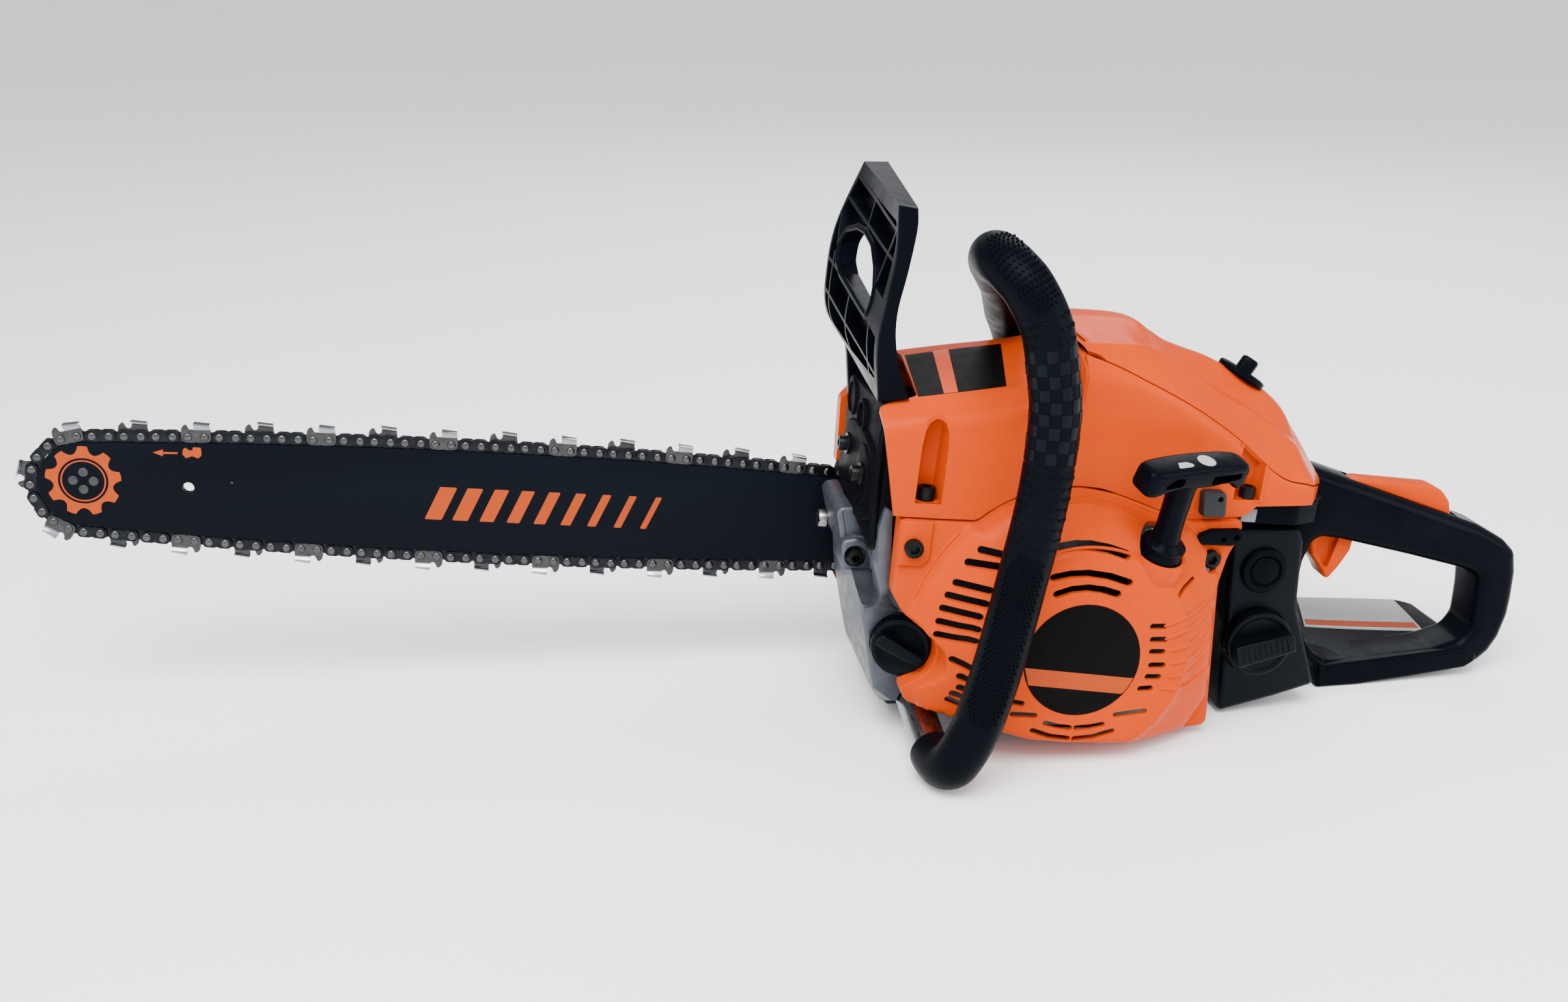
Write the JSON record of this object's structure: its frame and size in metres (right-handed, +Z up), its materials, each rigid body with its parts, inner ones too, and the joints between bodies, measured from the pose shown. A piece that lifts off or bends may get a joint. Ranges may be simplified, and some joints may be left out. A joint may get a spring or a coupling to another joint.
{
  "type": "chainsaw",
  "caption": "Petrol chainsaw with guide bar, saw chain, orange engine covers, wrap-round front handle, hand guard, pull starter and looped rear handle with trigger.",
  "frame": {"origin": "on the ground under the middle of the saw's bounding box", "axes": "+X towards the rear handle (the bar points to -X), -Y the starter side, +Y the clutch side, +Z up"},
  "size_m": [0.8432, 0.2368, 0.3003],
  "materials": {
    "orange_plastic": "glossy moulded",
    "black_plastic": "satin moulded",
    "muffler_steel": "heat resisting black paint",
    "black_rubber": "matte, textured",
    "cast_aluminium": "die cast, bead blasted",
    "bright_steel": "bright",
    "dark_steel": "blued",
    "bar_steel": "matte paint",
    "grey_plastic": "matte moulded",
    "brass": "machined",
    "filter_felt": "felt",
    "ceramic": "glazed",
    "rope": "braided"
  },
  "bodies": {
    "saw_body": {"clutch_cover": "orange_plastic", "top_cover": "orange_plastic", "filter_cover": "orange_plastic", "starter_cover": "orange_plastic", "ignition_coil": "black_plastic", "oil_pump": "black_plastic", "jet_grommet": "black_plastic", "fuel_tank": "black_plastic", "rear_handle": "black_plastic", "muffler": "muffler_steel", "intake_boot": "black_rubber", "isolator_plug": "black_rubber", "fuel_line": "black_rubber", "handle_grip": "black_rubber", "piston": "cast_aluminium", "cylinder": "cast_aluminium", "crankcase_left": "cast_aluminium", "crankcase_right": "cast_aluminium", "carburettor": "cast_aluminium", "main_bearing_left": "bright_steel", "main_bearing_right": "bright_steel", "connecting_rod": "bright_steel", "tension_screw": "bright_steel", "recoil_spring": "bright_steel", "front_handle": "bright_steel", "saw_chain": "dark_steel", "brake_band": "dark_steel", "crankcase_bolt": "dark_steel", "bar_nut_front": "dark_steel", "bar_nut_rear": "dark_steel", "muffler_bolt_upper": "dark_steel", "muffler_bolt_lower": "dark_steel", "top_cover_screw_front": "dark_steel", "top_cover_screw_rear": "dark_steel", "starter_screw_front": "dark_steel", "starter_screw_rear": "dark_steel", "guard_pivot_pin": "dark_steel", "guide_bar": "bar_steel", "idle_plug": "grey_plastic", "air_filter": "filter_felt", "spark_plug": "ceramic", "starter_rope": "rope"},
    "crank": {"crankshaft": "bright_steel", "flywheel": "cast_aluminium", "clutch_hub": "dark_steel", "clutch_shoe_upper": "dark_steel", "clutch_shoe_lower": "dark_steel"},
    "drum": {"clutch_drum": "bright_steel", "drive_sprocket": "bright_steel"},
    "nose": {"nose_sprocket": "bright_steel"},
    "pull_grip": {"starter_grip": "black_plastic"},
    "pulley": {"starter_pulley": "black_plastic"},
    "trigger": {"throttle_trigger": "orange_plastic"},
    "valve": {"throttle_valve": "brass"},
    "lockout": {"throttle_lockout": "orange_plastic"},
    "guard": {"brake_guard": "black_plastic"},
    "tank_cap": {"fuel_cap": "black_plastic"},
    "oil_filler_cap": {"oil_cap": "black_plastic"},
    "knob": {"filter_knob": "black_plastic"},
    "switch": {"stop_switch": "grey_plastic"}
  },
  "joints": [
    {"name": "crank_spin", "type": "hinge", "parent": "saw_body", "child": "crank", "pos_m": [0.13643, 0.00743, 0.07316], "axis": [0, 1, 0], "continuous": true},
    {"name": "drum_spin", "type": "hinge", "parent": "saw_body", "child": "drum", "pos_m": [0.13643, 0.08043, 0.07316], "axis": [0, 1, 0], "continuous": true},
    {"name": "nose_sprocket_spin", "type": "hinge", "parent": "saw_body", "child": "nose", "pos_m": [-0.38763, 0.06243, 0.13829], "axis": [0, 1, 0], "continuous": true},
    {"name": "starter_pull", "type": "slide", "parent": "saw_body", "child": "pull_grip", "axis": [0.2226, -0.2891, 0.9311], "range_m": [0, 0.7], "stiffness_N_per_m": 12, "springref_m": -0.8, "deforming": ["starter_rope"]},
    {"name": "starter_pulley_spin", "type": "hinge", "parent": "saw_body", "child": "pulley", "pos_m": [0.13643, -0.06457, 0.07316], "axis": [0, -1, 0], "range_deg": [0, 1500]},
    {"name": "throttle_squeeze", "type": "hinge", "parent": "saw_body", "child": "trigger", "pos_m": [0.30015, 0.00543, 0.10019], "axis": [0, -1, 0], "range_deg": [0, 18], "stiffness_Nm_per_rad": 0.5, "springref_deg": -17.19},
    {"name": "throttle_valve_turn", "type": "hinge", "parent": "saw_body", "child": "valve", "pos_m": [0.21415, 0.00743, 0.14292], "axis": [0, 1, 0], "range_deg": [0, 73]},
    {"name": "lockout_press", "type": "hinge", "parent": "saw_body", "child": "lockout", "pos_m": [0.32575, 0.00543, 0.11409], "axis": [0, 1, 0], "range_deg": [0, 9], "stiffness_Nm_per_rad": 0.5, "springref_deg": -17.19},
    {"name": "chain_brake", "type": "hinge", "parent": "saw_body", "child": "guard", "pos_m": [0.04251, 0.06243, 0.15543], "axis": [0, -1, 0], "range_deg": [0, 18]},
    {"name": "fuel_cap_turn", "type": "hinge", "parent": "saw_body", "child": "tank_cap", "pos_m": [0.24901, -0.03757, 0.04604], "axis": [0, -1, 0], "range_deg": [0, 90]},
    {"name": "oil_cap_turn", "type": "hinge", "parent": "saw_body", "child": "oil_filler_cap", "pos_m": [0.04654, -0.03757, 0.05787], "axis": [-0.2544, -0.964, 0.0772], "range_deg": [0, 90]},
    {"name": "filter_knob_turn", "type": "hinge", "parent": "saw_body", "child": "knob", "pos_m": [0.24629, 0.00543, 0.18851], "axis": [0.5503, 0, 0.835], "range_deg": [0, 90]},
    {"name": "stop_switch_slide", "type": "slide", "parent": "saw_body", "child": "switch", "axis": [-0.1045, 0, -0.9945], "range_m": [0, 0.003]}
  ],
  "couplings": [
    {"joint": "nose_sprocket_spin", "follows": "drum_spin", "ratio": 0.7},
    {"joint": "starter_pulley_spin", "follows": "starter_pull", "rad_per_m": 37},
    {"joint": "throttle_valve_turn", "follows": "throttle_squeeze", "ratio": 4}
  ]
}
